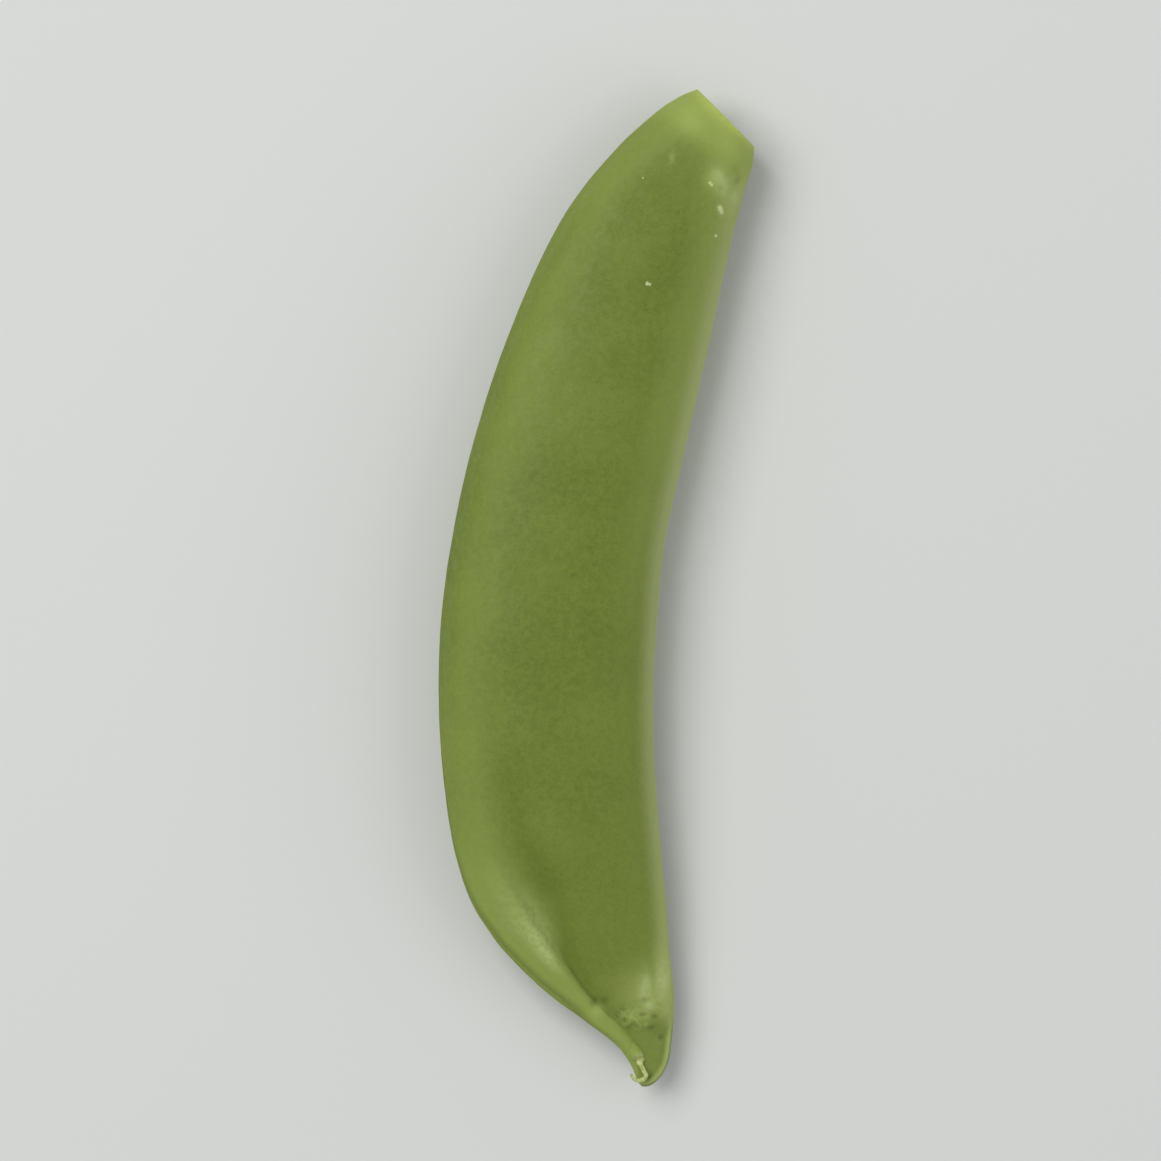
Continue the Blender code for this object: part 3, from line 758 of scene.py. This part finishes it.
class Nodes:
    """A short way to write a material's nodes."""

    def __init__(self, name):
        self.material = bpy.data.materials.new(name)
        self.material.use_nodes = True
        self.tree = self.material.node_tree
        self.shader = self.tree.nodes["Principled BSDF"]

    def add(self, kind, **settings):
        node = self.tree.nodes.new("ShaderNode" + kind)
        for name, value in settings.items():
            setattr(node, name, value)
        return node

    def put(self, value, socket):
        """Links an output to the socket, or sets the socket to a plain value."""
        if isinstance(value, bpy.types.NodeSocket):
            self.tree.links.new(value, socket)
        else:
            socket.default_value = value

    def mask(self, name):
        return self.add("Attribute", attribute_name=name).outputs["Fac"]

    def place(self):
        """The object's own coordinates."""
        return self.add("TexCoord").outputs["Object"]

    def texture(self, kind, place, size_mm):
        texture = self.add(kind)
        self.put(place, texture.inputs["Vector"])
        texture.inputs["Scale"].default_value = 1 / (size_mm * METRES_PER_MM)
        return texture

    def noise(self, size_mm, detail=3.0, roughness=0.5):
        texture = self.texture("TexNoise", self.place(), size_mm)
        texture.inputs["Detail"].default_value = detail
        texture.inputs["Roughness"].default_value = roughness
        return texture.outputs["Fac"]

    def cells(self, size_mm):
        return self.texture("TexVoronoi", self.place(), size_mm).outputs["Distance"]

    def ragged(self, size_mm, reach_mm):
        """The object's own coordinates, moved to and fro by noise."""
        place = self.place()
        texture = self.texture("TexNoise", place, size_mm)
        centred = self.add("VectorMath", operation="SUBTRACT")
        self.put(texture.outputs["Color"], centred.inputs[0])
        centred.inputs[1].default_value = (0.5, 0.5, 0.5)
        moved = self.add("VectorMath", operation="MULTIPLY_ADD")
        self.put(centred.outputs["Vector"], moved.inputs[0])
        moved.inputs[1].default_value = (2 * reach_mm * METRES_PER_MM,) * 3
        self.put(place, moved.inputs[2])
        return moved.outputs["Vector"]

    def spots(self, places):
        """1 inside round spots seen from above, given as x, y and radius in mm, and 0 outside them."""
        flattened = self.add("Mapping")
        self.put(self.ragged(*SPECK_WAVE), flattened.inputs["Vector"])
        flattened.inputs["Scale"].default_value = (1 / METRES_PER_MM, 1 / METRES_PER_MM, 0)
        share = 0.0
        for x, y, radius in places:
            apart = self.add("VectorMath", operation="DISTANCE")
            self.put(flattened.outputs["Vector"], apart.inputs[0])
            apart.inputs[1].default_value = (x, y, 0)
            soft = SPECK_SOFTNESS * radius
            spot = self.span(apart.outputs["Value"], radius - soft, radius + soft, 1.0, 0.0)
            share = self.math("MAXIMUM", spot, share)
        return share

    def span(self, value, low, high, to_low=0.0, to_high=1.0):
        """Maps low..high to to_low..to_high smoothly, and holds the ends."""
        node = self.add("MapRange", interpolation_type="SMOOTHSTEP")
        names = ("Value", "From Min", "From Max", "To Min", "To Max")
        for name, setting in zip(names, (value, low, high, to_low, to_high)):
            self.put(setting, node.inputs[name])
        return node.outputs["Result"]

    def math(self, operation, first, second):
        node = self.add("Math", operation=operation)
        self.put(first, node.inputs[0])
        self.put(second, node.inputs[1])
        return node.outputs[0]

    def mixed(self, share, colours):
        """Two display colours, blended."""
        first, second = colours
        return self.blend(share, linear(first), linear(second))

    def blend(self, share, first, second):
        """Blends two colours. The node has other kinds of socket too, so these are found by number."""
        node = self.add("Mix", data_type="RGBA")
        self.put(share, node.inputs[0])
        self.put(first, node.inputs[6])
        self.put(second, node.inputs[7])
        return node.outputs[2]

    def bump(self, size_mm, height_mm, detail=3.0, roughness=0.5, under=None):
        """Normals of noise raised by its height, over another bump's normals if one is given."""
        node = self.add("Bump")
        node.inputs["Distance"].default_value = height_mm * METRES_PER_MM
        node.inputs["Strength"].default_value = 1.0
        self.put(self.noise(size_mm, detail, roughness), node.inputs["Height"])
        if under is not None:
            self.put(under, node.inputs["Normal"])
        return node.outputs["Normal"]


def tint(nodes, colour, mask, strength, display):
    """Blends a display colour in where a mask is, by its strength."""
    share = nodes.math("MULTIPLY", nodes.mask(mask), strength)
    return nodes.blend(share, colour, linear(display))


def broken_tint(nodes, colour, mask, strength, display, size_mm, rise, least):
    """A tint whose strength noise breaks up, from its least share to all of it."""
    share = nodes.span(nodes.noise(size_mm, roughness=0.6), *rise, least, 1.0)
    return tint(nodes, colour, mask, nodes.math("MULTIPLY", share, strength), display)


def plain_green(nodes):
    """The green of the skin: broad patches, mottled lighter, with a darker grain."""
    patches = nodes.span(nodes.noise(PATCH_SIZE, detail=2.0), low=0.32, high=0.68)
    colour = nodes.mixed(patches, SKIN_GREENS)
    mottle = nodes.span(nodes.noise(MOTTLE_SIZE, detail=4.0, roughness=0.65), low=0.3, high=0.72)
    mottle = nodes.math("MULTIPLY", mottle, MOTTLE_STRENGTH)
    colour = nodes.blend(mottle, colour, linear(MOTTLE_GREEN))
    grain = nodes.span(nodes.noise(GRAIN_SIZE, roughness=0.6), low=0.5, high=0.75)
    return nodes.blend(nodes.math("MULTIPLY", grain, GRAIN_STRENGTH), colour, linear(GRAIN_GREEN))


def flesh_colour(nodes):
    """The cut face: pale flesh, greener in the middle, with small darker dots."""
    flesh = tint(nodes, nodes.mixed(nodes.noise(FLESH_SIZE), FLESH_COLOURS), *CUT_MIDDLE_TINT)
    dots = nodes.span(nodes.cells(DOT_SIZE), low=0.12, high=0.22, to_low=DOT_STRENGTH, to_high=0.0)
    return nodes.blend(dots, flesh, linear(DOT_GREEN))


def curls(nodes):
    """Fine curled lines, where noise crosses its middle value."""
    off_middle = nodes.math("SUBTRACT", nodes.noise(CURL_SIZE, detail=1.5, roughness=0.4), 0.5)
    off_middle = nodes.math("ABSOLUTE", off_middle, 0.0)
    return nodes.span(off_middle, low=0.0, high=0.09, to_low=CURL_STRENGTH, to_high=0.0)


def skin_colour(nodes):
    colour = plain_green(nodes)
    for row in PLAIN_TINTS:
        colour = tint(nodes, colour, *row)
    for row in BROKEN_TINTS:
        colour = broken_tint(nodes, colour, *row)
    colour = tint(nodes, colour, "curly", curls(nodes), CURL_GREEN)
    specks = nodes.math("MULTIPLY", nodes.spots(SPECKS), SPECK_STRENGTH)
    colour = tint(nodes, colour, "upper", specks, SPECK_COLOUR)
    colour = tint(nodes, colour, *NECK_GLOW_TINT)
    colour = broken_tint(nodes, colour, *NECK_TINT)
    colour = tint(nodes, colour, *CUT_RIM_TINT)
    return nodes.blend(nodes.mask("flesh"), colour, flesh_colour(nodes))


def let_light_in(shader, depth_mm):
    """What the skin and the style share: a faint shine, and light that goes a little way in."""
    shader.inputs["Specular IOR Level"].default_value = SPECULAR
    shader.inputs["Subsurface Weight"].default_value = SUBSURFACE
    shader.inputs["Subsurface Radius"].default_value = DEEP_COLOUR
    shader.inputs["Subsurface Scale"].default_value = depth_mm * METRES_PER_MM


def skin_material():
    nodes = Nodes("pea_pod_skin")
    shader = nodes.shader
    nodes.put(skin_colour(nodes), shader.inputs["Base Color"])
    wax = nodes.noise(WAX_SIZE, detail=4.0, roughness=0.6)
    nodes.put(nodes.span(wax, 0.3, 0.7, *SKIN_ROUGHNESS), shader.inputs["Roughness"])
    fine = nodes.bump(*FINE_BUMP, roughness=0.55)
    nodes.put(nodes.bump(*COARSE_BUMP, under=fine), shader.inputs["Normal"])
    let_light_in(shader, SKIN_DEPTH)
    shader.inputs["Sheen Weight"].default_value = SHEEN
    shader.inputs["Sheen Roughness"].default_value = SHEEN_ROUGHNESS
    shader.inputs["Sheen Tint"].default_value = SHEEN_COLOUR
    return nodes.material


def style_material():
    nodes = Nodes("dried_style")
    shader = nodes.shader
    straw = nodes.mixed(nodes.span(nodes.noise(STRAW_SIZE), low=0.35, high=0.65), STRAW_COLOURS)
    green = nodes.mixed(nodes.noise(MOTTLE_SIZE, detail=4.0, roughness=0.65), STYLE_GREENS)
    nodes.put(nodes.blend(nodes.mask("dry"), green, straw), shader.inputs["Base Color"])
    shader.inputs["Roughness"].default_value = STYLE_ROUGHNESS
    let_light_in(shader, STYLE_DEPTH)
    nodes.put(nodes.bump(*STYLE_BUMP, detail=2.0), shader.inputs["Normal"])
    return nodes.material


def floor_material():
    nodes = Nodes("floor")
    nodes.put(linear(FLOOR_GREY), nodes.shader.inputs["Base Color"])
    nodes.shader.inputs["Roughness"].default_value = FLOOR_ROUGHNESS
    return nodes.material


# The scene


def add_piece(name, mesh, material):
    mesh.materials.append(material)
    piece = bpy.data.objects.new(name, mesh)
    bpy.context.scene.collection.objects.link(piece)
    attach(piece, "root")
    return piece


def make_pod():
    pod = Sections()
    across, face = ring_of_section()
    at = Places(pod, across)
    leant = lean(pod_rings(pod, at, face))
    shift = resting_shift(leant)
    surface = leant + shift
    surface[..., 2] = np.maximum(surface[..., 2], 0)
    surface = roughen(pod, surface, face)
    rings = np.array([*cut_face_rings(surface[0], surface[1]), *surface])
    mesh = loft("pea_pod", rings * METRES_PER_MM)
    add_masks(mesh, pod, at, surface, face)
    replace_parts(add_piece("pea_pod", mesh, skin_material()), "pod")
    style = lean(style_rings(pod)) + shift
    style_mesh = loft("dried_style", style * METRES_PER_MM)
    add_dry_mask(style_mesh, style)
    add_piece("dried_style", style_mesh, style_material())


def make_floor():
    half = FLOOR_HALF_WIDTH
    mesh = bpy.data.meshes.new("floor")
    corners = [(-half, -half, 0), (half, -half, 0), (half, half, 0), (-half, half, 0)]
    mesh.from_pydata(corners, [], [(0, 1, 2, 3)])
    mesh.materials.append(floor_material())
    floor = bpy.data.objects.new("floor", mesh)
    bpy.context.scene.collection.objects.link(floor)


def add_area_light(name, place, size, watts):
    """A square soft light that points at the pod."""
    lamp = bpy.data.lights.new(name, "AREA")
    lamp.size = size
    lamp.energy = watts
    light = bpy.data.objects.new(name, lamp)
    light.location = place
    light.rotation_euler = (-Vector(place)).to_track_quat("-Z", "Y").to_euler()
    bpy.context.scene.collection.objects.link(light)


def make_lights():
    add_area_light("key_light", *KEY_LIGHT)
    add_area_light("fill_light", *FILL_LIGHT)
    world = bpy.data.worlds.new("soft_room")
    world.use_nodes = True
    background = world.node_tree.nodes["Background"]
    background.inputs["Color"].default_value = ROOM_COLOUR
    background.inputs["Strength"].default_value = ROOM_STRENGTH
    bpy.context.scene.world = world
    bpy.context.scene.view_settings.view_transform = "Standard"


def make_camera():
    lens = bpy.data.cameras.new("camera")
    lens.lens = CAMERA_LENS
    lens.clip_start, lens.clip_end = CAMERA_REACH
    camera = bpy.data.objects.new("camera", lens)
    camera.location = (0.0, 0.0, CAMERA_HEIGHT)
    camera.rotation_euler = (0.0, 0.0, CAMERA_ROLL)
    bpy.context.scene.collection.objects.link(camera)
    bpy.context.scene.camera = camera


make_pod()
make_floor()
make_lights()
make_camera()
